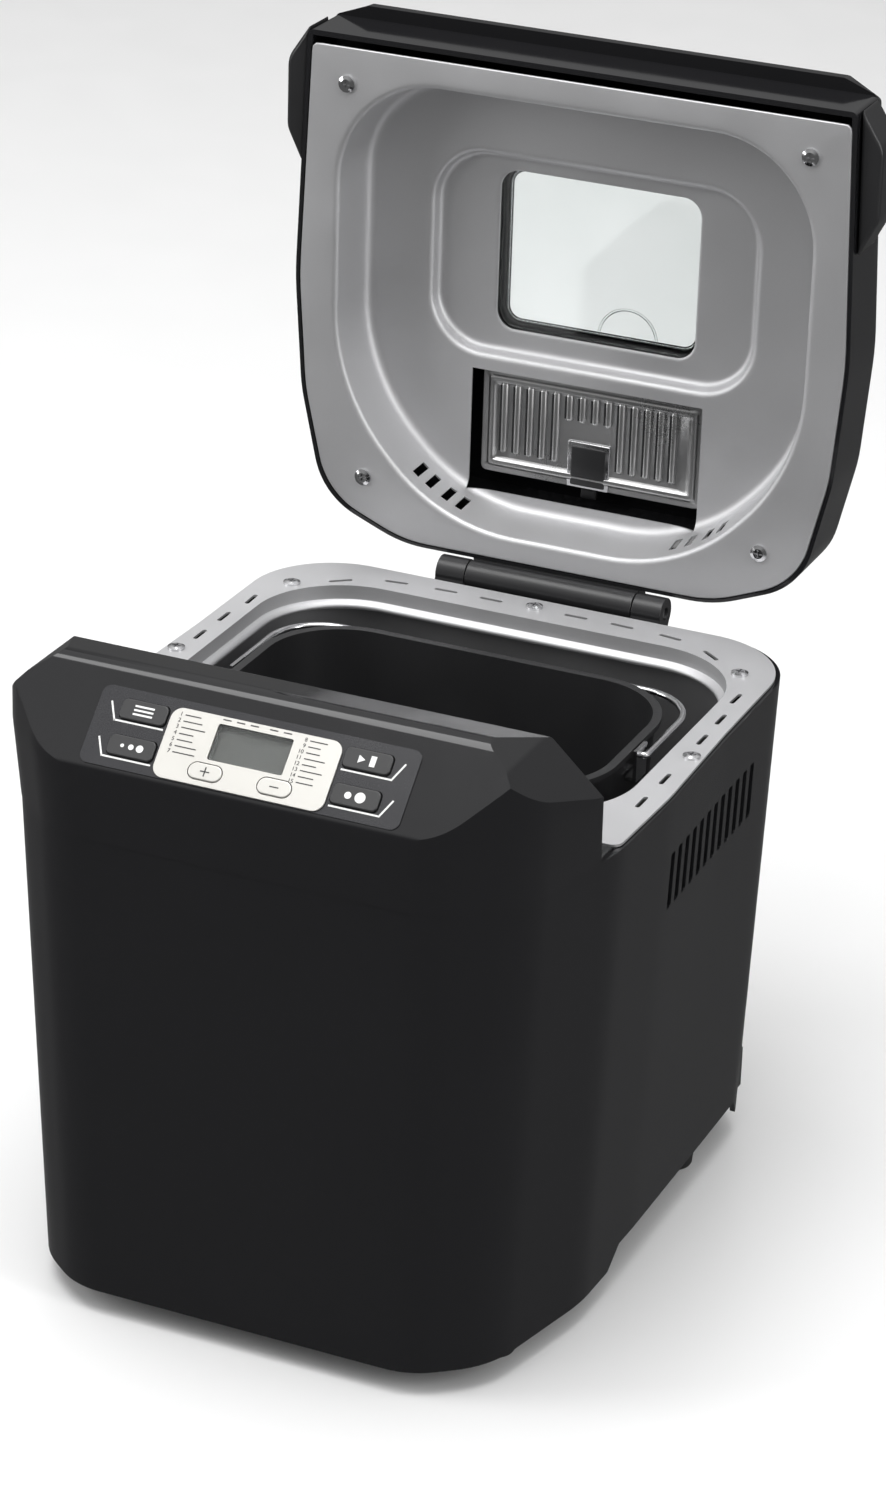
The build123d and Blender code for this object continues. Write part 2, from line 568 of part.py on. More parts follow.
def key(name, oval):
    """Button cap with a retaining flange and a stem that ends above its switch."""
    x, v = KEYS[name]
    width, height = (OVAL_W, OVAL_H) if oval else (KEY_W, KEY_H)
    with BuildPart() as cap:
        for low, high, grow in ((-3.3, OVERLAY_T + KEY_PROUD, 0), (-4.2, -2.9, 0.8)):
            with BuildSketch(FACE.offset(low)):
                with Locations((x, v)):
                    if oval:
                        SlotOverall(width + 2 * grow, height + 2 * grow)
                    else:
                        RectangleRounded(width + 2 * grow, height + 2 * grow, 2.4)
            extrude(amount=high - low)
        with BuildSketch(FACE.offset(4 - BOARD_DEPTH + KEY_TRAVEL + 0.2)):
            with Locations((x, v)):
                Circle(2)
        extrude(amount=4)
        top = cap.faces().sort_by(Axis(FACE.origin, FACE.z_dir))[-1]
        fillet(top.edges(), 0.5)
    return cap


keys = {name: key(name, abs(KEYS[name][0]) < KEY_X) for name in KEYS}

# ---- Hinge --------------------------------------------------------------------------------
with BuildPart() as hinge_bracket:
    for side in (-1, 1):
        near, far = sorted((side * (KNUCKLE_HALF + 0.4), side * HINGE_HALF))
        with BuildSketch(Plane.YZ.offset(near)):
            with Locations((HINGE_Y, HINGE_Z)):
                Circle(HINGE_R)
            with BuildLine():
                Polyline((131.4, 200), (131.4, 229), (135, 237), (HINGE_Y, HINGE_Z), (147, 231), (134, 204), close=True)
            make_face()
        extrude(amount=far - near)
    with BuildSketch(Plane.YZ.offset(-HINGE_HALF)):
        with BuildLine():
            Polyline((131.4, 200), (131.4, 224), (134.5, 224), (134.5, 204), close=True)
        make_face()
    extrude(amount=2 * HINGE_HALF)
    with BuildSketch(Plane.YZ.offset(-70)):
        with Locations((HINGE_Y, HINGE_Z)):
            Circle(HINGE_PIN_R)
    extrude(amount=140, mode=Mode.SUBTRACT)

with BuildPart() as hinge_pin:
    with BuildSketch(Plane.YZ.offset(-HINGE_HALF + 1)):
        with Locations((HINGE_Y, HINGE_Z)):
            Circle(HINGE_PIN_R)
    extrude(amount=2 * HINGE_HALF - 2)

with BuildPart() as hinge_knuckle:
    with BuildSketch(Plane.YZ.offset(-KNUCKLE_HALF)):
        with Locations((HINGE_Y, HINGE_Z)):
            Circle(HINGE_R)
    extrude(amount=2 * KNUCKLE_HALF)
    block((-KNUCKLE_HALF, LID_Y + 0.3, HINGE_Z), (KNUCKLE_HALF, LID_Y + 10, LID_Z + LID_EDGE[0][1]))
    with BuildSketch(Plane.YZ.offset(-70)):
        with Locations((HINGE_Y, HINGE_Z)):
            Circle(HINGE_PIN_R + RUN_FIT)
    extrude(amount=140, mode=Mode.SUBTRACT)

# ---- Lid ----------------------------------------------------------------------------------
LID_WALL = 2.5
BOSS_DEPTH = 14.0
PANE_W, PANE_H = 116.0, 92.0
GRILLE_W, GRILLE_H, GRILLE_V = 92.0, 20.0, 24.0

with BuildPart() as lid_outer_shell:
    lip, crown = LID.offset(-LIP_FROM), LID.offset(-LID_DEPTH)
    # straight sides, then a lip that stands up along the front end, then the sloping crown
    extrude(outline(LID_EDGE, LID_RADII, LID), amount=-LIP_FROM)
    loft([outline(LID_LIP, LIP_RADII, lip), outline(LID_BROW, LIP_RADII, LID.offset(-LIP_TO))])
    loft([outline(LID_BROW, LIP_RADII, LID.offset(-LIP_TO)), outline(LID_CROWN, CROWN_RADII, crown)])
    extrude(outline(LID_EDGE, LID_RADII, LID, -LID_WALL), amount=-LID_STRAIGHT, mode=Mode.SUBTRACT)
    loft([
        outline(LID_EDGE, LID_RADII, LID.offset(-LID_STRAIGHT), -LID_WALL),
        outline(LID_CROWN, CROWN_RADII, LID.offset(LID_WALL - LID_DEPTH), -LID_WALL),
    ], mode=Mode.SUBTRACT)
    # screw bosses with a rib to the side wall
    for x, v in LID_SCREWS:
        side, rib_x = math.copysign(1, x), 131.5 if v > 50 else 122.0
        with BuildSketch(LID.offset(-BOSS_DEPTH)):
            with Locations((x, v)):
                Circle(4.5)
            with Locations(((x + side * rib_x) / 2, v)):
                Rectangle(rib_x - abs(x), 4)
        extrude(amount=BOSS_DEPTH - 1)
    with BuildSketch(LID.offset(-1)):
        with Locations(*LID_SCREWS):
            Circle(1.9)
    extrude(amount=-12, mode=Mode.SUBTRACT)
    # rebate for the edge of the inner plate
    extrude(outline(LID_PLATE, LID_RADII, LID, 0.3), amount=-1, mode=Mode.SUBTRACT)
    extrude(rounded(PANE_W, PANE_H, 12, crown, (0, WINDOW_V)), amount=5, mode=Mode.SUBTRACT)
    extrude(rounded(GRILLE_W, GRILLE_H, 4, crown, (0, GRILLE_V)), amount=5, mode=Mode.SUBTRACT)

with BuildPart() as lid_inner_plate:
    extrude(outline(LID_PLATE, LID_RADII, LID), amount=-1)
    loft([
        outline(DOME, DOME_RADII, LID, 1),
        outline(DOME, DOME_RADII, LID.offset(-DOME_DEPTH - 1), 1 - DOME_DRAFT),
    ])
    extrude(rounded(
        PANE_STEP_W + 2, PANE_STEP_H + 2, PANE_STEP_R + 1, LID.offset(-DOME_DEPTH), (0, PANE_STEP_V),
    ), amount=-PANE_STEP_DEPTH - 1)
    loft([
        outline(DOME, DOME_RADII, LID),
        outline(DOME, DOME_RADII, LID.offset(-DOME_DEPTH), -DOME_DRAFT),
    ], mode=Mode.SUBTRACT)
    extrude(rounded(
        PANE_STEP_W, PANE_STEP_H, PANE_STEP_R, LID.offset(-DOME_DEPTH), (0, PANE_STEP_V),
    ), amount=-PANE_STEP_DEPTH, mode=Mode.SUBTRACT)
    extrude(rounded(
        WINDOW_W, WINDOW_H, WINDOW_R, LID.offset(-DOME_DEPTH), (0, WINDOW_V),
    ), amount=-PANE_STEP_DEPTH - 2, mode=Mode.SUBTRACT)
    extrude(rounded(VENT_W, VENT_H, 2, LID.offset(-DOME_DEPTH), (0, VENT_V)), amount=-2, mode=Mode.SUBTRACT)
    with BuildSketch(LID):
        with Locations(*LID_SCREWS):
            Circle(2.1)
    extrude(amount=-2, mode=Mode.SUBTRACT)
    # four steam slots in the slanting dome wall on each side
    for side in (-1, 1):
        for i in range(4):
            x, v = 65 + 7 * i, -12 + 7.4 * i
            slot = Plane(
                origin=LID.from_local_coords(Vector(side * x, v, -14)),
                x_dir=(side * 0.69, 0, 0.725), z_dir=(side * 0.725, 0, -0.69),
            )
            with BuildSketch(slot):
                Rectangle(3.6, 13)
            extrude(amount=9, both=True, mode=Mode.SUBTRACT)

lid_screws = pan_head_screws(LID_SCREWS, LID, 11)

with BuildPart() as window_gasket:
    back = LID.offset(-DOME_DEPTH - PANE_STEP_DEPTH - 1)
    extrude(rounded(WINDOW_W + 14, WINDOW_H + 12, 12, back, (0, WINDOW_V)), amount=-1.2)
    extrude(rounded(WINDOW_W, WINDOW_H, WINDOW_R, back, (0, WINDOW_V)), amount=-1.2, mode=Mode.SUBTRACT)

with BuildPart() as window_inner_glass:
    extrude(rounded(WINDOW_W + 12, WINDOW_H + 10, 11, back.offset(-1.2), (0, WINDOW_V)), amount=-3)

with BuildPart() as window_outer_pane:
    extrude(rounded(PANE_W + 8, PANE_H + 8, 14, LID.offset(LID_WALL - LID_DEPTH), (0, WINDOW_V)), amount=2)
    extrude(rounded(PANE_W - 0.6, PANE_H - 0.6, 11.5, crown.offset(0.3), (0, WINDOW_V)), amount=LID_WALL)

with BuildPart() as vent_baffle:
    tray = LID.offset(-DOME_DEPTH - 7)
    extrude(rounded(112, 52, 2, tray, (1, VENT_V + 3)), amount=-1)
    with BuildSketch(tray):
        for i in range(14):
            x = -48.1 + 7.4 * i
            short = 5 <= i <= 8
            with Locations((x, VENT_V + (16 if short else 5))):
                SlotOverall(14 if short else 36, 3.4, rotation=90)
    extrude(amount=1.4)
    for x in (-54.5, 56.5):
        with BuildSketch(tray.offset(-1)):
            with Locations((x, VENT_V + 3)):
                Rectangle(1, 50)
        extrude(amount=7)

with BuildPart() as lid_vent_grille:
    extrude(rounded(GRILLE_W - 0.6, GRILLE_H - 0.6, 3.7, crown.offset(0.5), (0, GRILLE_V)), amount=2)
    with BuildSketch(crown):
        with Locations((0, GRILLE_V)):
            with GridLocations(8, 0, 11, 1):
                SlotOverall(14, 3.6, rotation=90)
    extrude(amount=5, mode=Mode.SUBTRACT)


def lid_grip(side):
    """Half-moon finger grip that stands out from the side of the lid."""
    with BuildPart() as grip:
        with BuildSketch(LID.offset(-3)):
            with BuildLine():
                FilletPolyline(
                    (side * 135.5, 146), (side * 144.5, 164), (side * 144.5, 197), (side * 133.2, 214),
                    radius=[0, 12, 12, 0], close=True,
                )
            make_face()
        extrude(amount=-22)
    return grip


left_grip, right_grip = lid_grip(-1), lid_grip(1)
with BuildPart() as lid_grips:
    add(left_grip.part)
    add(right_grip.part)

# ---- Bread pan, handle, shaft and paddle --------------------------------------------------
with BuildPart() as bread_pan:
    loft([
        rounded(PAN_FOOT_L, PAN_FOOT_W, PAN_FOOT_R, level(PAN_BOTTOM_Z, PAN_Y)),
        rounded(PAN_L, PAN_W, PAN_R, level(PAN_RIM_Z, PAN_Y)),
    ])
    extrude(rounded(PAN_L + 5, PAN_W + 5, PAN_R + 2.5, level(PAN_RIM_Z - 2.6, PAN_Y)), amount=2.6)
    loft([
        rounded(PAN_FOOT_L - 2 * PAN_T, PAN_FOOT_W - 2 * PAN_T, PAN_FOOT_R - PAN_T, level(PAN_BOTTOM_Z + PAN_T, PAN_Y)),
        rounded(PAN_L - 2 * PAN_T, PAN_W - 2 * PAN_T, PAN_R - PAN_T, level(PAN_RIM_Z, PAN_Y)),
    ], mode=Mode.SUBTRACT)
    post(0, PAN_Y, 9, PAN_BOTTOM_Z - 1, PAN_BOTTOM_Z + 3, Mode.SUBTRACT)

with BuildPart() as pan_handle_lugs:
    for side in (-1, 1):
        near, far = sorted((side * 97.4, side * 99.0))
        block((near, PAN_Y - 6, 216), (far, PAN_Y + 6, 231))
        near, far = sorted((side * 93.6, side * 99.0))
        block((near, PAN_Y - 6, 216), (far, PAN_Y + 6, 218))
    with BuildSketch(Plane.YZ.offset(-110)):
        with Locations((PAN_Y, BAIL_Z)):
            Circle(BAIL_R + RUN_FIT)
    extrude(amount=220, mode=Mode.SUBTRACT)

with BuildPart() as pan_handle:
    with BuildLine() as bail_path:
        FilletPolyline(
            (97.2, PAN_Y, BAIL_Z), (BAIL_X, PAN_Y, BAIL_Z), (BAIL_X, PAN_Y + BAIL_REACH, BAIL_Z),
            (-BAIL_X, PAN_Y + BAIL_REACH, BAIL_Z), (-BAIL_X, PAN_Y, BAIL_Z), (-97.2, PAN_Y, BAIL_Z),
            radius=[1.8, 26, 26, 1.8],
        )
    with BuildSketch(Plane(origin=bail_path.line @ 0, z_dir=bail_path.line % 0)):
        Circle(BAIL_R)
    sweep()

with BuildPart() as pan_base:
    post(0, PAN_Y, 40, 79.3, PAN_BOTTOM_Z)
    post(0, PAN_Y, 36, 79, PAN_BOTTOM_Z - 3, Mode.SUBTRACT)
    # bush for the shaft, clenched through the bottom of the pan
    post(0, PAN_Y, 9, 88, PAN_BOTTOM_Z + PAN_T)
    post(0, PAN_Y, 12, PAN_BOTTOM_Z + PAN_T, 97.5)
    post(0, PAN_Y, SHAFT_R + RUN_FIT, 79, 99, Mode.SUBTRACT)

with BuildPart() as shaft_seal:
    post(0, PAN_Y, 8, 97.5, 100)
    post(0, PAN_Y, SHAFT_R + RUN_FIT, 97, 101, Mode.SUBTRACT)

with BuildPart() as pan_shaft:
    post(0, PAN_Y, SHAFT_R, 78, 117)

with BuildPart() as pan_coupling:
    block((-2.5, PAN_Y - 10.5, 78), (2.5, PAN_Y + 10.5, 86.5))
    post(0, PAN_Y, 6, 78, 87.5)
    post(0, PAN_Y, SHAFT_R, 77, 88, Mode.SUBTRACT)

with BuildPart() as kneading_paddle:
    post(0, PAN_Y, 8.5, 100.5, 121)
    with BuildSketch(level(100.5)):
        with BuildLine():
            FilletPolyline(
                (0, PAN_Y - 2), (30, PAN_Y - 4), (46, PAN_Y - 12), (47.5, PAN_Y - 9.5), (32, PAN_Y + 1),
                (0, PAN_Y + 3), radius=[0, 20, 0.8, 0.8, 20, 0], close=True,
            )
        make_face()
    extrude(amount=20, taper=4)
    post(0, PAN_Y, SHAFT_R + RUN_FIT, 99, 117.6, Mode.SUBTRACT)

# ---- Write every piece --------------------------------------------------------------------
pieces = {
    "main_housing": main_housing, "cord_gland": cord_gland, "base_plate": base_plate,
    "rubber_feet": rubber_feet, "deck_plate": deck_plate, "housing_screws": housing_screws,
    "chamber_liner": chamber_liner, "pan_seat": pan_seat, "heating_element": heating_element,
    "element_insulators": element_insulators, "temperature_sensor": temperature_sensor,
    "thermal_fuse": thermal_fuse, "heat_shield": heat_shield, "chassis_frame": chassis_frame,
    "drive_bearing_housing": drive_bearing_housing, "drive_bushes": drive_bushes,
    "driven_pulley": driven_pulley, "drive_belt": drive_belt, "drive_shaft": drive_shaft,
    "drive_coupling": drive_coupling, "motor_covers": motor_covers, "motor_stator": motor_stator,
    "motor_rotor": motor_rotor, "motor_pulley": motor_pulley, "motor_mounts": motor_mounts,
    "power_board": power_board, "power_components": power_components,
    "control_panel_housing": control_panel_housing, "control_overlay": control_overlay,
    "display_bezel": display_bezel, "display_lens": display_lens, "lcd_module": lcd_module,
    "control_board": control_board, "tactile_switches": tactile_switches,
    "hinge_bracket": hinge_bracket, "hinge_pin": hinge_pin, "hinge_knuckle": hinge_knuckle,
    "lid_outer_shell": lid_outer_shell, "lid_inner_plate": lid_inner_plate, "lid_screws": lid_screws,
    "window_gasket": window_gasket, "window_inner_glass": window_inner_glass,
    "window_outer_pane": window_outer_pane, "vent_baffle": vent_baffle,
    "lid_vent_grille": lid_vent_grille, "lid_grips": lid_grips, "bread_pan": bread_pan,
    "pan_handle_lugs": pan_handle_lugs, "pan_handle": pan_handle, "pan_base": pan_base,
    "shaft_seal": shaft_seal, "pan_shaft": pan_shaft, "pan_coupling": pan_coupling,
    "kneading_paddle": kneading_paddle, **keys,
}
print(len(pieces), "pieces")

for name, piece in pieces.items():
    piece.part.label = name
    export_step(piece.part, f"parts/{name}.step")
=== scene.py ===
import bmesh
import bpy
import json
import math
from mathutils import Matrix, Vector


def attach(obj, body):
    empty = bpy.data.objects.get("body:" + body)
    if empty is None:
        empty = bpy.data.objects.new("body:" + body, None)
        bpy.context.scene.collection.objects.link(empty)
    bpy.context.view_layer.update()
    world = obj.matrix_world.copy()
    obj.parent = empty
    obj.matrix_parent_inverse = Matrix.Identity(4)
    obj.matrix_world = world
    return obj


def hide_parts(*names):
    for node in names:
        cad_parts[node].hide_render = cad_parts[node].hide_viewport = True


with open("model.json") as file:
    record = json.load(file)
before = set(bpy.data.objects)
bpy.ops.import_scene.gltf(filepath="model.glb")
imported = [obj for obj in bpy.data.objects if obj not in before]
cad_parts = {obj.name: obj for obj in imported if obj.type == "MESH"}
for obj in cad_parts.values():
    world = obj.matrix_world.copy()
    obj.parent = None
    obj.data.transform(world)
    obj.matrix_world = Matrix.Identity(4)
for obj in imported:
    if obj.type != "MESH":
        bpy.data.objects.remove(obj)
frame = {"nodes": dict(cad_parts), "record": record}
nodes = frame["nodes"]
bodyOf = {node: body for body, members in frame["record"]["behaviour"]["bodies"].items() for node in members}
slotOf = {part["node"]: part["material_slot"] for part in frame["record"]["subparts"]}
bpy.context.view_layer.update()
print("frame loaded,", len(nodes), "nodes")


# ways of working

def deselectAll():
    if bpy.context.object and bpy.context.object.mode != "OBJECT":
        bpy.ops.object.mode_set(mode="OBJECT")
    bpy.ops.object.select_all(action="DESELECT")


def pick(piece):
    deselectAll()
    piece.select_set(True)
    bpy.context.view_layer.objects.active = piece


def modify(piece, kind, **settings):  # adds a modifier and applies it at once
    pick(piece)
    modifier = piece.modifiers.new(kind.title(), kind)
    for setting, value in settings.items():
        setattr(modifier, setting, value)
    bpy.ops.object.modifier_apply(modifier=modifier.name)


def smooth(piece, angle=35):
    pick(piece)
    bpy.ops.object.shade_smooth_by_angle(angle=math.radians(angle))


def settle(piece, name):  # place and size go into the mesh
    pick(piece)
    bpy.ops.object.transform_apply(location=True, rotation=True, scale=True)
    piece.name = piece.data.name = name
    return piece


def joined(parts, name):
    pick(parts[0])
    for part in parts:
        part.select_set(True)
    bpy.ops.object.join()
    return settle(parts[0], name)


def refinedCopy(node, bevel, segments=2, angle=35):  # the CAD shape, welded, with softened edges
    source = nodes[node]
    piece = bpy.data.objects.new(node + ".fine", source.data.copy())
    bpy.context.collection.objects.link(piece)
    pick(piece)
    bpy.ops.object.mode_set(mode="EDIT")
    bpy.ops.mesh.select_all(action="SELECT")
    bpy.ops.mesh.remove_doubles(threshold=0.000002)
    bpy.ops.mesh.dissolve_limited(angle_limit=math.radians(0.05))
    bpy.ops.object.mode_set(mode="OBJECT")
    if bevel:
        modify(
            piece, "BEVEL", width=bevel, segments=segments, limit_method="ANGLE",
            angle_limit=math.radians(angle), use_clamp_overlap=True,
        )
    smooth(piece, 40)
    modify(piece, "WEIGHTED_NORMAL", keep_sharp=True)
    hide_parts(node)
    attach(piece, bodyOf[node])
    return piece


# outlines on the lid: x across, v up from the lower screws, depth away from the viewer of the open lid

lidPlane = {"y": 143.5, "z": 273.0, "centre": (0.0, 100.0), "rays": 480}


def onLid(x, v, depth):  # millimetres on the lid to metres in the frame
    return Vector((x / 1000, (lidPlane["y"] + depth) / 1000, (lidPlane["z"] + v) / 1000))


def roundedLoop(corners, radii, grow=0.0):  # closed loop of a half outline mirrored about x = 0
    corners = corners + [(-x, v) for x, v in reversed(corners)]
    radii = radii + radii[::-1]
    count = len(corners)
    lines = []
    for i in range(count):
        start, end = Vector(corners[i]), Vector(corners[(i + 1) % count])
        along = (end - start).normalized()
        outward = Vector((along.y, -along.x))
        lines.append((start + outward * grow, along))
    loop = []
    for i in range(count):
        (before, inward), (after, onward) = lines[i - 1], lines[i]
        cross = inward.x * onward.y - inward.y * onward.x
        offset = after - before
        reach = (offset.x * onward.y - offset.y * onward.x) / cross
        corner = before + inward * reach
        turn = math.acos(max(-1, min(1, inward.dot(onward))))
        radius = max(0.3, radii[i] + grow)
        cut = radius * math.tan(turn / 2)
        middle = corner - inward * cut + Vector((-inward.y, inward.x)) * radius
        spoke = (corner - inward * cut) - middle
        steps = max(2, int(math.degrees(turn) / 4))
        for k in range(steps + 1):
            swing = turn * k / steps
            loop.append((
                middle.x + spoke.x * math.cos(swing) - spoke.y * math.sin(swing),
                middle.y + spoke.x * math.sin(swing) + spoke.y * math.cos(swing),
            ))
    return loop


def roundedBox(width, height, radius, centreV, grow=0.0):
    corners = [(width / 2, centreV - height / 2), (width / 2, centreV + height / 2)]
    return roundedLoop(corners, [radius, radius], grow)


def rayPoints(loop, centre, rays):  # where evenly turned rays from the centre meet the loop
    points = []
    angles = [math.atan2(y - centre[1], x - centre[0]) % math.tau for x, y in loop]
    order = sorted(range(len(loop)), key=lambda i: angles[i])
    k = 0
    for i in range(rays):
        angle = math.tau * i / rays
        while k < len(order) and angles[order[k]] < angle:
            k += 1
        a, b = loop[order[k - 1]], loop[order[k % len(order)]]
        dx, dy = math.cos(angle), math.sin(angle)
        ex, ey = b[0] - a[0], b[1] - a[1]
        across = dx * ey - dy * ex
        if abs(across) < 1e-9:
            reach = math.hypot(a[0] - centre[0], a[1] - centre[1])
        else:
            reach = ((a[0] - centre[0]) * ey - (a[1] - centre[1]) * ex) / across
        points.append((centre[0] + dx * reach, centre[1] + dy * reach))
    return points


def ringStack(name, rings, place, centre, rays, fill=False):  # rings: (loop, depth), first to last
    deselectAll()
    bpy.ops.mesh.primitive_circle_add(vertices=rays, radius=1, fill_type="NOTHING")
    piece = bpy.context.object
    bpy.ops.object.mode_set(mode="EDIT")
    bpy.ops.mesh.select_all(action="SELECT")
    mesh = bmesh.from_edit_mesh(piece.data)
    label = mesh.verts.layers.int.new("ray")
    for vert in mesh.verts:
        vert[label] = round((math.atan2(vert.co.y, vert.co.x) % math.tau) * rays / math.tau) % rays
    bmesh.update_edit_mesh(piece.data)
    for number, (loop, depth) in enumerate(rings):
        if number:
            bpy.ops.mesh.extrude_edges_move()
        mesh = bmesh.from_edit_mesh(piece.data)
        label = mesh.verts.layers.int["ray"]
        points = rayPoints(loop, centre, rays)
        for vert in mesh.verts:
            if vert.select:
                x, v = points[vert[label]]
                vert.co = place(x, v, depth)
        bmesh.update_edit_mesh(piece.data)
    if fill:
        bpy.ops.mesh.edge_face_add()
    bpy.ops.mesh.select_all(action="SELECT")
    bpy.ops.mesh.remove_doubles(threshold=0.000001)
    bpy.ops.mesh.normals_make_consistent(inside=False)
    bpy.ops.object.mode_set(mode="OBJECT")
    piece.name = piece.data.name = name
    return piece


def curveStep(startGrow, startDepth, endGrow, endDepth, hollow, steps=5):
    # quarter round between two (grow, depth) ends; hollow leaves the start along the depth
    stops = []
    for k in range(steps + 1):
        a = math.pi / 2 * k / steps
        if hollow:
            grow = startGrow + (endGrow - startGrow) * (1 - math.cos(a))
            depth = startDepth + (endDepth - startDepth) * math.sin(a)
        else:
            grow = startGrow + (endGrow - startGrow) * math.sin(a)
            depth = startDepth + (endDepth - startDepth) * (1 - math.cos(a))
        stops.append((grow, depth))
    return stops


def carve(piece, cutter):
    modify(piece, "BOOLEAN", operation="DIFFERENCE", solver="EXACT", object=cutter)
    bpy.data.objects.remove(cutter, do_unlink=True)


def cutterBlock(size, centre, turn=None):  # sizes in millimetres, centre in metres
    deselectAll()
    bpy.ops.mesh.primitive_cube_add(size=1)
    block = bpy.context.object
    block.scale = [s / 1000 for s in size]
    if turn is not None:
        block.rotation_mode = "QUATERNION"
        block.rotation_quaternion = turn
    block.location = centre
    return settle(block, "cutter")


# materials

def material(
    name, colour, roughness, metallic=0.0, grain=900.0, grainBump=0.05, mottle=0.06, wear=0.08, **sockets
):
    made = bpy.data.materials.new(name)
    made.use_nodes = True
    tree = made.node_tree
    shader = tree.nodes["Principled BSDF"]
    shader.inputs["Metallic"].default_value = metallic
    for socket, value in sockets.items():
        shader.inputs[socket].default_value = value
    place = tree.nodes.new("ShaderNodeTexCoord")
    broad = tree.nodes.new("ShaderNodeTexNoise")  # slow variation over the whole piece
    broad.inputs["Scale"].default_value = 18.0
    broad.inputs["Detail"].default_value = 5.0
    fine = tree.nodes.new("ShaderNodeTexNoise")  # surface grain
    fine.inputs["Scale"].default_value = grain
    fine.inputs["Detail"].default_value = 3.0
    for texture in (broad, fine):
        tree.links.new(place.outputs["Object"], texture.inputs["Vector"])
    tint = tree.nodes.new("ShaderNodeMixRGB")
    tint.inputs["Color1"].default_value = [c * (1 - mottle) for c in colour] + [1]
    tint.inputs["Color2"].default_value = [min(1, c * (1 + mottle)) for c in colour] + [1]
    tree.links.new(broad.outputs["Fac"], tint.inputs["Fac"])
    tree.links.new(tint.outputs["Color"], shader.inputs["Base Color"])
    spread = tree.nodes.new("ShaderNodeMapRange")
    spread.inputs["From Min"].default_value = 0.3
    spread.inputs["From Max"].default_value = 0.7
    spread.inputs["To Min"].default_value = max(0.02, roughness - wear / 2)
    spread.inputs["To Max"].default_value = roughness + wear / 2
    both = tree.nodes.new("ShaderNodeMath")
    both.operation = "MULTIPLY_ADD"
    both.inputs[1].default_value = 0.35
    tree.links.new(fine.outputs["Fac"], both.inputs[0])
    tree.links.new(broad.outputs["Fac"], both.inputs[2])
    shift = tree.nodes.new("ShaderNodeMath")
    shift.operation = "SUBTRACT"
    shift.inputs[1].default_value = 0.17
    tree.links.new(both.outputs[0], shift.inputs[0])
    tree.links.new(shift.outputs[0], spread.inputs["Value"])
    tree.links.new(spread.outputs["Result"], shader.inputs["Roughness"])
    bump = tree.nodes.new("ShaderNodeBump")
    bump.inputs["Strength"].default_value = grainBump
    bump.inputs["Distance"].default_value = 0.0002
    tree.links.new(fine.outputs["Fac"], bump.inputs["Height"])
    tree.links.new(bump.outputs["Normal"], shader.inputs["Normal"])
    return made


finishes = {
    "black_gloss": material("glossBlack", (0.010, 0.010, 0.011), 0.10, grain=260, grainBump=0.02, wear=0.05),
    "black_satin": material("satinBlack", (0.018, 0.018, 0.019), 0.34, grain=1400, grainBump=0.12),
    "satin_aluminium": material(
        "satinAluminium", (0.62, 0.62, 0.63), 0.55, 0.86, grain=1500, grainBump=0.22, mottle=0.04,
    ),
    "galvanised_steel": material(
        "galvanisedSteel", (0.46, 0.46, 0.47), 0.40, 0.86, grain=700, grainBump=0.1, mottle=0.1,
    ),
    "pressed_steel": material("pressedSteel", (0.50, 0.50, 0.50), 0.30, 0.92, grain=1300, grainBump=0.08),
    "bright_steel": material("brightSteel", (0.62, 0.62, 0.63), 0.18, 1.0, grain=1200, grainBump=0.05),
    "non_stick": material("nonStick", (0.018, 0.018, 0.019), 0.36, grain=1100, grainBump=0.2, mottle=0.2),
    "cast_aluminium": material("castAluminium", (0.40, 0.40, 0.40), 0.5, 0.9, grain=500, grainBump=0.3),
    "rubber": material("blackRubber", (0.016, 0.016, 0.016), 0.62, grain=900, grainBump=0.2),
    "silicone": material("redSilicone", (0.35, 0.05, 0.03), 0.55, grain=700, grainBump=0.1),
    "clear_glass": material(
        "clearGlass", (0.93, 0.96, 0.95), 0.03, grain=60, grainBump=0.0, wear=0.02,
        **{"Transmission Weight": 1.0, "IOR": 1.46},
    ),
    "silver_panel": material(
        "silverPaint", (0.55, 0.54, 0.51), 0.34, 0.55, grain=2200, grainBump=0.08, mottle=0.03,
    ),
    "display": material("displayGlass", (0.34, 0.345, 0.33), 0.22, grain=900, grainBump=0.02, mottle=0.03),
    "overlay_film": material("overlayFilm", (0.013, 0.013, 0.016), 0.26, grain=1800, grainBump=0.06),
    "circuit_board": material(
        "circuitBoard", (0.02, 0.11, 0.045), 0.35, grain=300, grainBump=0.2, mottle=0.3,
    ),
    "electronics": material("electronicParts", (0.03, 0.03, 0.035), 0.4, grain=400, grainBump=0.1),
    "ceramic": material("ceramic", (0.72, 0.70, 0.64), 0.5, grain=600, grainBump=0.1),
    "heater_sheath": material(
        "heaterSheath", (0.10, 0.09, 0.085), 0.48, 0.7, grain=500, grainBump=0.2, mottle=0.3,
    ),
    "bronze": material("sinteredBronze", (0.36, 0.22, 0.10), 0.4, 0.9, grain=900, grainBump=0.2),
}
whitePrint = material("whitePrint", (0.78, 0.78, 0.77), 0.4, grain=1500, grainBump=0.03)
darkPrint = material("darkPrint", (0.03, 0.03, 0.03), 0.4, grain=1500, grainBump=0.03)
print("materials made,", len(finishes) + 2)


def dress(piece, look):
    piece.data.materials.clear()
    piece.data.materials.append(look)


def finish(piece, slot, body, replaced=None, angle=30, look=None):  # shading, material chosen by its slot name, and body
    smooth(piece, angle)
    dress(piece, look or finishes[slot])
    if replaced:
        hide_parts(replaced)
    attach(piece, body)


# every CAD node gets its finish

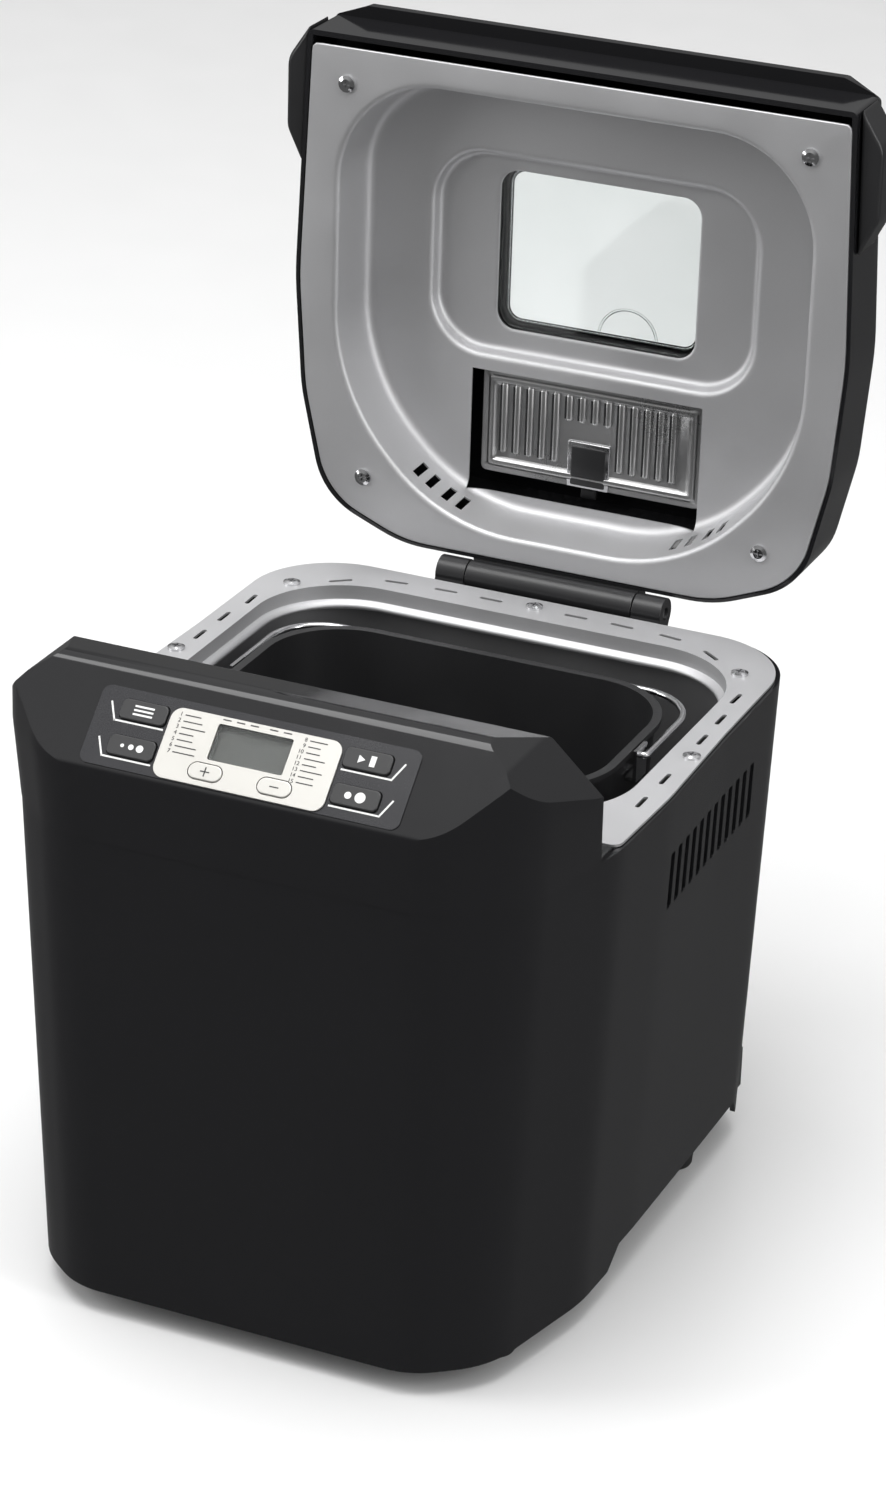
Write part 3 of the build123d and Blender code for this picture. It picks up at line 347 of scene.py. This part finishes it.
for name, node in nodes.items():
    for i in range(len(node.material_slots)):
        node.material_slots[i].material = finishes[slotOf[name]]
    if not node.material_slots:
        node.data.materials.append(finishes[slotOf[name]])

softened = {  # bevel widths in metres
    "main_housing": 0.0008, "control_panel_housing": 0.0012, "hinge_bracket": 0.0008, "hinge_knuckle": 0.0008,
    "lid_grips": 0.002, "rubber_feet": 0.001, "base_plate": 0.0005, "kneading_paddle": 0.0006,
}
for name, width in softened.items():
    dress(refinedCopy(name, width), finishes[slotOf[name]])
print("CAD shapes softened,", len(softened))

# the pressed inner plate of the lid

plateSizes = {
    "edge": [(78, -28.4), (119, -11.5), (131, 40), (135, 95), (130.4, 207)],
    "edgeRadii": [60, 35, 80, 150, 3],
    "dome": [(60, -17), (116, 42), (116, 194)], "domeRadii": [85, 100, 50], "domeDepth": 29.0,
    "draft": 3.0, "rimRound": 2.6, "floorRound": 5.0,
    "paneStep": (160.0, 97.0, 26.0, 109.5), "stepDepth": 7.0, "stepRound": 3.0,
    "window": (99.2, 77.2, 9.0, 111.0), "vent": (116.0, 60.0, 23.0), "thickness": 0.8,
    "slots": {  # steam slots in the wall, first one and the step to the next
        "width": 3.8, "length": 11.0, "through": 8.0, "first": (59, -18), "step": (7.3, 4.7), "depth": 14.0,
    },
}


def buildInnerPlate(s):
    centre, rays = lidPlane["centre"], lidPlane["rays"]
    edge = lambda grow: roundedLoop(s["edge"], s["edgeRadii"], grow)
    dome = lambda grow: roundedLoop(s["dome"], s["domeRadii"], grow)
    step = lambda grow: roundedBox(*s["paneStep"], grow)
    window = lambda grow: roundedBox(*s["window"], grow)
    floor, sill = s["domeDepth"], s["domeDepth"] + s["stepDepth"]
    rings = [(edge(0), 0.95), (edge(-0.1), 0.4), (edge(-0.45), 0.08), (edge(-1.1), 0)]
    rings += [(dome(s["rimRound"] + 2), 0)]
    rings += [(dome(g), d) for g, d in curveStep(s["rimRound"], 0, -0.3, s["rimRound"], False, 6)]
    rings += [(dome(g), d) for g, d in curveStep(
        -s["draft"] + 0.6, floor - s["floorRound"], -s["draft"] - s["floorRound"] + 0.6, floor, True, 7)]
    rings += [(dome(-s["draft"] - s["floorRound"] - 1.4), floor)]
    r = s["stepRound"]
    rings += [(step(r + 1.2), floor)]
    rings += [(step(g), d) for g, d in curveStep(r, floor, 0, floor + r, False, 6)]
    rings += [(step(g), d) for g, d in curveStep(-0.4, sill - r, -r - 0.4, sill, True, 6)]
    rings += [(step(-r - 1.6), sill)]
    rings += [(window(g), sill + sink) for g, sink in ((1.6, 0), (0.8, 0.05), (0.2, 0.35), (0, 1.0))]
    plate = ringStack("innerPlate", rings, onLid, centre, rays)
    modify(plate, "SOLIDIFY", thickness=s["thickness"] / 1000, offset=-1)
    width, height, v = s["vent"]
    carve(plate, cutterBlock((width, 8, height), onLid(0, v, floor)))
    slots = s["slots"]
    (firstX, firstV), (stepX, stepV) = slots["first"], slots["step"]
    wall = rayPoints(dome(-s["draft"] / 2), centre, rays)
    for i in range(4):
        aim = math.atan2(firstV + stepV * i - centre[1], firstX + stepX * i)
        near = [wall[round((aim + turn) % math.tau * rays / math.tau) % rays] for turn in (-0.02, 0, 0.02)]
        along = Vector((near[2][0] - near[0][0], near[2][1] - near[0][1])).normalized()
        for side in (-1, 1):
            turn = Matrix.Rotation(math.atan2(side * along.x, along.y), 3, "Y").to_quaternion()
            carve(plate, cutterBlock(
                (slots["through"], slots["length"], slots["width"]),
                onLid(side * near[1][0], near[1][1], slots["depth"]), turn,
            ))
    return plate



innerPlate = buildInnerPlate(plateSizes)
finish(innerPlate, "satin_aluminium", "lid", "lid_inner_plate")
print("inner plate of the lid shaped,", len(innerPlate.data.polygons), "faces")

# the vent tray behind the plate, with its louvres and catch; dark bars of painted shade stand in for the
# shaded mouths of the louvres

ventSizes = {
    "tray": (112.0, 52.0, 3.0, 26.0), "shift": 1.0, "depth": 35.8, "thickness": 0.6,
    "ribs": 14, "pitch": 6.6, "first": -43.9, "ribWidth": 3.8, "long": (36.0, 28.0), "short": (14.0, 39.0),
    "shortOnes": (5, 8), "slitShadeWidth": 1.0, "catch": (18.0, 20.0, 11.0), "tab": (8.0, 5.0),
}


def louvre(width, length, centre):  # a raised rib with round ends
    deselectAll()
    bpy.ops.mesh.primitive_uv_sphere_add(segments=20, ring_count=12, radius=width / 2000)
    rib = bpy.context.object
    bpy.ops.object.mode_set(mode="EDIT")
    bpy.ops.mesh.select_all(action="DESELECT")
    mesh = bmesh.from_edit_mesh(rib.data)
    for vert in mesh.verts:
        vert.select = vert.co.z > 0.00001
    mesh.select_flush(True)
    bmesh.update_edit_mesh(rib.data)
    bpy.ops.transform.translate(value=(0, 0, (length - width) / 1000))
    bpy.ops.object.mode_set(mode="OBJECT")
    rib.location = centre - Vector((0, 0, (length - width) / 2000))
    return settle(rib, "rib")


def buildVent(s):
    tray = lambda grow: roundedBox(*s["tray"], grow)
    place = lambda x, v, depth: onLid(x + s["shift"], v, depth)
    d = s["depth"]
    profile = [(0, 1.6), (0, 0.4), (-0.4, 0), (-3.0, 0), (-3.8, -0.7), (-5.0, -1.0)]
    profile += [(-6.2, -0.7), (-7.0, 0.3), (-8.0, 0.9)]
    rings = [(tray(g), d + sink) for g, sink in profile]
    shell = ringStack("ventTray", rings, place, (0, s["tray"][3]), 320, fill=True)
    modify(shell, "SOLIDIFY", thickness=s["thickness"] / 1000, offset=-1)
    ribs, slitShades = [], []
    for i in range(s["ribs"]):
        length, v = s["short"] if s["shortOnes"][0] <= i <= s["shortOnes"][1] else s["long"]
        x = s["first"] + s["pitch"] * i
        ribs.append(louvre(s["ribWidth"], length, onLid(x, v, d + 0.9)))
        # each dark bar is painted shade for the shaded mouth of a louvre; no opening is cut
        slitShades.append(cutterBlock((s["slitShadeWidth"], 0.6, length - 3), onLid(x - s["ribWidth"] * 0.36, v, d - 0.5)))
    return joined([shell, joined(ribs, "ribs")], "ventTray"), joined(slitShades, "ventSlitShade")


ventTray, ventSlitShade = buildVent(ventSizes)
# the black bars are painted shade in the louvre mouths
finish(ventSlitShade, "black_satin", "lid")
finish(ventTray, "bright_steel", "lid", "vent_baffle", look=finishes["pressed_steel"])


def softBlock(size, centre, bevel, name):  # a block with rounded edges, millimetres
    block = cutterBlock(size, centre)
    modify(block, "BEVEL", width=bevel / 1000, segments=3, limit_method="NONE")
    return settle(block, name)


w, h, v = ventSizes["catch"]
ventDepth = ventSizes["depth"]
catchFrame = softBlock((w + 3.4, 1.6, h + 3), onLid(0, v + 0.4, ventDepth + 0.3), 0.6, "ventCatchFrame")
finish(catchFrame, "bright_steel", "lid")
catchPad = softBlock((w, 2.6, h), onLid(0, v, ventDepth + 0.4), 1.1, "ventCatch")
finish(catchPad, "black_satin", "lid")
tabW, tabH = ventSizes["tab"]
catchTab = softBlock((tabW, 3.0, tabH), onLid(0, -3.2, ventDepth + 3), 0.8, "ventCatchTab")
finish(catchTab, "black_satin", "lid")
print("vent tray shaped")

# the frame between the two panes of the window, its bright bead and the half-round mark

windowSizes = {
    "opening": (99.2, 77.2, 9.0, 111.0), "from": 41.6, "to": 47.6, "bead": 1.1,
    "mark": (13.0, 73.6, 14.5, 0.7),  # centre across, centre up, ring radius, thickness
}


def buildWindowFrame(s):
    frameLoop = lambda grow: roundedBox(*s["opening"], grow)
    rings = [(frameLoop(4), s["from"]), (frameLoop(0.6), s["from"]), (frameLoop(0), s["from"] + 0.6)]
    rings += [(frameLoop(-0.6), s["to"] - 0.4), (frameLoop(-0.6), s["to"])]
    liner = ringStack("windowTunnel", rings, onLid, lidPlane["centre"], lidPlane["rays"])
    modify(liner, "SOLIDIFY", thickness=0.0006, offset=1)
    r = s["bead"]
    rings = []
    for k in range(9):
        a = math.pi * k / 8
        rings.append((frameLoop(-0.6 - r + r * math.cos(a)), s["to"] - r * math.sin(a)))
    bead = ringStack("windowBead", rings, onLid, lidPlane["centre"], lidPlane["rays"])
    return liner, bead


windowTunnel, windowBead = buildWindowFrame(windowSizes)
finish(windowTunnel, "black_satin", "lid")
finish(windowBead, "bright_steel", "lid")
markX, markV, markR, markTube = windowSizes["mark"]
deselectAll()
bpy.ops.mesh.primitive_torus_add(
    major_radius=markR / 1000, minor_radius=markTube / 1000, major_segments=72, minor_segments=12,
    location=onLid(markX, markV, windowSizes["to"]), rotation=(math.pi / 2, 0, 0),
)
windowMark = settle(bpy.context.object, "windowMark")
bpy.ops.object.mode_set(mode="EDIT")
bpy.ops.mesh.select_all(action="SELECT")
bpy.ops.mesh.bisect(
    plane_co=onLid(0, markV, 0), plane_no=(0, 0, 1), use_fill=True, clear_inner=True, clear_outer=False,
)
bpy.ops.object.mode_set(mode="OBJECT")
finish(windowMark, "clear_glass", "lid")
print("window framed")

# prints on the control panel: brackets, key symbols and the numbered lists

facePlane = {"y": -178.5, "z": 282.0}


def onFace(x, v, lift):  # millimetres on the sloping face to metres in the frame
    step = math.sqrt(0.5)
    return Vector((x, facePlane["y"] + step * (v - lift), facePlane["z"] + step * (v + lift))) / 1000


faceTilt = Matrix.Rotation(math.radians(45), 3, "X")


def printBar(start, end, width, lift, thickness=0.14):
    (x0, v0), (x1, v1) = start, end
    turn = (faceTilt @ Matrix.Rotation(math.atan2(v1 - v0, x1 - x0), 3, "Z")).to_quaternion()
    length = math.hypot(x1 - x0, v1 - v0) + width
    return cutterBlock((length, width, thickness), onFace((x0 + x1) / 2, (v0 + v1) / 2, lift), turn)


def printDisc(x, v, radius, lift, sides=32, thickness=0.14, turned=0.0):
    deselectAll()
    bpy.ops.mesh.primitive_cylinder_add(vertices=sides, radius=radius / 1000, depth=thickness / 1000)
    disc = bpy.context.object
    disc.rotation_mode = "QUATERNION"
    disc.rotation_quaternion = (faceTilt @ Matrix.Rotation(turned, 3, "Z")).to_quaternion()
    disc.location = onFace(x, v, lift)
    return settle(disc, "disc")


def printNumber(number, x, v, size, lift):
    deselectAll()
    bpy.ops.object.text_add()
    figure = bpy.context.object
    figure.data.body = str(number)
    figure.data.size = size / 1000
    figure.data.extrude = 0.00007
    figure.data.align_x = "RIGHT"
    figure.data.align_y = "CENTER"
    bpy.ops.object.convert(target="MESH")
    figure = bpy.context.object
    figure.rotation_mode = "QUATERNION"
    figure.rotation_quaternion = faceTilt.to_quaternion()
    figure.location = onFace(x, v, lift)
    return settle(figure, "number")


panelSizes = {
    "overlayTop": 0.5, "keyTop": 1.7, "bezelTop": 1.3, "keyV": (8.4, -7.6), "keyX": 50.5,
    "underline": (40.5, 62.5), "upright": (66.2, 7.4), "lineWidth": 0.75, "drop": 5.5,
    "ovalX": 15.6, "ovalV": -11.0, "sign": 3.6, "signWidth": 0.5,
    "leftColumn": (-33.6, 11.2, 2.75, 7), "rightColumn": (22.6, 11.6, 2.62, 8), "numberSize": 2.5,
    "bars": (6.72, 8.16, 10.4, 6.08, 6.56, 9.12, 9.44, 7.36, 5.12, 5.6, 8.8, 5.76, 9.28, 6.4, 7.04),
    "barStart": 1.4, "barWidth": 0.45, "topMarks": (-15.5, -9.3, -3.1, 5.6, 11.8), "topMark": (12.6, 3.2, 0.5),
}


def buildPanelPrint(s):
    lift = s["overlayTop"] + 0.05
    bars = []
    for side in (-1, 1):
        for v in s["keyV"]:
            low = v - s["drop"]
            inner, outer = s["underline"]
            tip = (side * s["upright"][0], low + s["upright"][1])
            bars.append(printBar((side * inner, low), (side * outer, low), s["lineWidth"], lift))
            bars.append(printBar((side * outer, low), tip, s["lineWidth"], lift))
    return joined(bars, "panelBrackets")


def buildKeySymbols(s):
    lift, x = s["keyTop"] + 0.05, s["keyX"]
    high, low = s["keyV"]
    menu = [printBar((-x - 4, high + dv), (-x + 4, high + dv), 0.8, lift) for dv in (-1.8, 0, 1.8)]
    shade = [printDisc(-x + dx, low, radius, lift) for dx, radius in ((-4, 0.8), (0, 1.2), (4, 1.6))]
    go = [
        printDisc(x - 3, high, 2.0, lift, sides=3, turned=-math.pi / 2),
        printBar((x + 2.4, high - 1.1), (x + 2.4, high + 1.1), 2.4, lift),
    ]
    size = [printDisc(x - 3.2, low, 1.5, lift), printDisc(x + 2.2, low, 2.3, lift)]
    oval, level, arm = s["ovalX"], s["ovalV"], s["sign"] / 2
    plus = [
        printBar((-oval - arm, level), (-oval + arm, level), s["signWidth"], lift),
        printBar((-oval, level - arm), (-oval, level + arm), s["signWidth"], lift),
    ]
    minus = [printBar((oval - arm, level), (oval + arm, level), s["signWidth"], lift)]
    return {
        "menu_button": menu, "color_button": shade, "start_stop_button": go,
        "loaf_button": size, "plus_button": plus, "minus_button": minus,
    }


def buildLists(s):
    lift = s["bezelTop"] + 0.05
    marks, number = [], 0
    for x, top, pitch, rows in (s["leftColumn"], s["rightColumn"]):
        for row in range(rows):
            v = top - pitch * row
            marks.append(printNumber(number + 1, x, v, s["numberSize"], lift))
            start = x + s["barStart"]
            end = start + s["bars"][number]
            marks.append(printBar((start, v - 0.1), (end, v - 0.1), s["barWidth"], lift))
            number += 1
    high, length, width = s["topMark"]
    marks += [printBar((x, high), (x + length, high), width, lift) for x in s["topMarks"]]
    return joined(marks, "programmeList")


panelBrackets = buildPanelPrint(panelSizes)
finish(panelBrackets, "overlay_film", "root", look=whitePrint)
for keyName, marks in buildKeySymbols(panelSizes).items():
    mark = joined(marks, keyName + "Symbol")
    oval = keyName in ("plus_button", "minus_button")
    finish(mark, slotOf[keyName], bodyOf[keyName], look=darkPrint if oval else whitePrint)
programmeList = buildLists(panelSizes)
finish(programmeList, "silver_panel", "root", look=darkPrint)
print("panel printed")

# the shelf under the mouth of the chamber

shelfSizes = {
    "mouth": (228.8, 187.0, 44.0, 12.5),
    "profile": [  # growth of the mouth outline, height
        (1.2, 228.6), (0.2, 228.2), (-1.6, 227.4), (-2.8, 226.6),
        (-3.3, 225.6), (-3.0, 224.6), (-1.6, 223.8), (1.2, 223.2),
    ],
}


def buildShelf(s):
    mouth = lambda grow: roundedBox(*s["mouth"], grow)
    place = lambda x, y, z: Vector((x, y, z)) / 1000
    return ringStack("chamberShelf", [(mouth(g), z) for g, z in s["profile"]], place, (0, s["mouth"][3]), 360)


chamberShelf = buildShelf(shelfSizes)
finish(chamberShelf, "galvanised_steel", "root", angle=60, look=finishes["satin_aluminium"])
print("chamber shelf shaped")

# floor, light and camera

studio = {"floorSize": 14.0, "horizonLight": 0.12, "overheadLight": 0.9}
bpy.ops.mesh.primitive_plane_add(size=studio["floorSize"])
floor = settle(bpy.context.object, "studioFloor")
floorPaint = material("floorPaint", (0.86, 0.86, 0.86), 0.35, grain=200, grainBump=0.0, mottle=0.0)
dress(floor, floorPaint)
floor.visible_glossy = False

world = bpy.data.worlds.new("softRoom")
bpy.context.scene.world = world
world.use_nodes = True
sky = world.node_tree
room = sky.nodes["Background"]  # what lights the object: brighter overhead, dim at the horizon
room.inputs["Color"].default_value = (1, 1, 1, 1)
backdrop = sky.nodes.new("ShaderNodeBackground")  # what shows behind it
backdrop.inputs["Color"].default_value = (1, 1, 1, 1)
path = sky.nodes.new("ShaderNodeLightPath")
mixed = sky.nodes.new("ShaderNodeMixShader")
direction = sky.nodes.new("ShaderNodeTexCoord")
split = sky.nodes.new("ShaderNodeSeparateXYZ")
rise = sky.nodes.new("ShaderNodeMapRange")
rise.inputs["From Min"].default_value = 0.1
rise.inputs["From Max"].default_value = 0.9
rise.inputs["To Min"].default_value = studio["horizonLight"]
rise.inputs["To Max"].default_value = studio["overheadLight"]
sky.links.new(direction.outputs["Generated"], split.inputs["Vector"])
sky.links.new(split.outputs["Z"], rise.inputs["Value"])
sky.links.new(rise.outputs["Result"], room.inputs["Strength"])
sky.links.new(path.outputs["Is Camera Ray"], mixed.inputs["Fac"])
sky.links.new(room.outputs["Background"], mixed.inputs[1])
sky.links.new(backdrop.outputs["Background"], mixed.inputs[2])
sky.links.new(mixed.outputs["Shader"], sky.nodes["World Output"].inputs["Surface"])


def softbox(name, spot, target, size, power):
    light = bpy.data.lights.new(name, "AREA")
    light.shape = "RECTANGLE"
    light.size, light.size_y = size
    light.energy = power
    lamp = bpy.data.objects.new(name, light)
    bpy.context.collection.objects.link(lamp)
    lamp.location = spot
    lamp.rotation_mode = "QUATERNION"
    lamp.rotation_quaternion = (Vector(target) - Vector(spot)).to_track_quat("-Z", "Y")


softbox("overheadBox", (-0.2, -0.3, 2.4), (0, 0, 0.2), (1.8, 1.8), 45)
softbox("leftBox", (-2.2, -1.2, 1.2), (0, 0, 0.25), (0.8, 2.0), 25)
softbox("rightBox", (2.4, -0.6, 1.1), (0, 0, 0.25), (0.5, 2.0), 22)

view = {"azimuth": 23.43, "elevation": 24.92, "roll": 1.81, "lens": 107.8, "spot": (0.726, -1.657, 1.052)}
turn, lift, roll = (math.radians(view[angle]) for angle in ("azimuth", "elevation", "roll"))
back = Vector((math.sin(turn) * math.cos(lift), -math.cos(turn) * math.cos(lift), math.sin(lift)))
right = Vector((math.cos(turn), math.sin(turn), 0))
up = back.cross(right)
rightRolled = right * math.cos(roll) + up * math.sin(roll)
upRolled = up * math.cos(roll) - right * math.sin(roll)
cameraData = bpy.data.cameras.new("camera")
cameraData.lens, cameraData.sensor_width = view["lens"], 36
camera = bpy.data.objects.new("camera", cameraData)
bpy.context.collection.objects.link(camera)
camera.matrix_world = Matrix((rightRolled, upRolled, back)).transposed().to_4x4()
camera.location = view["spot"]
bpy.context.scene.camera = camera
bpy.context.scene.view_settings.view_transform = "Standard"
print("studio ready")
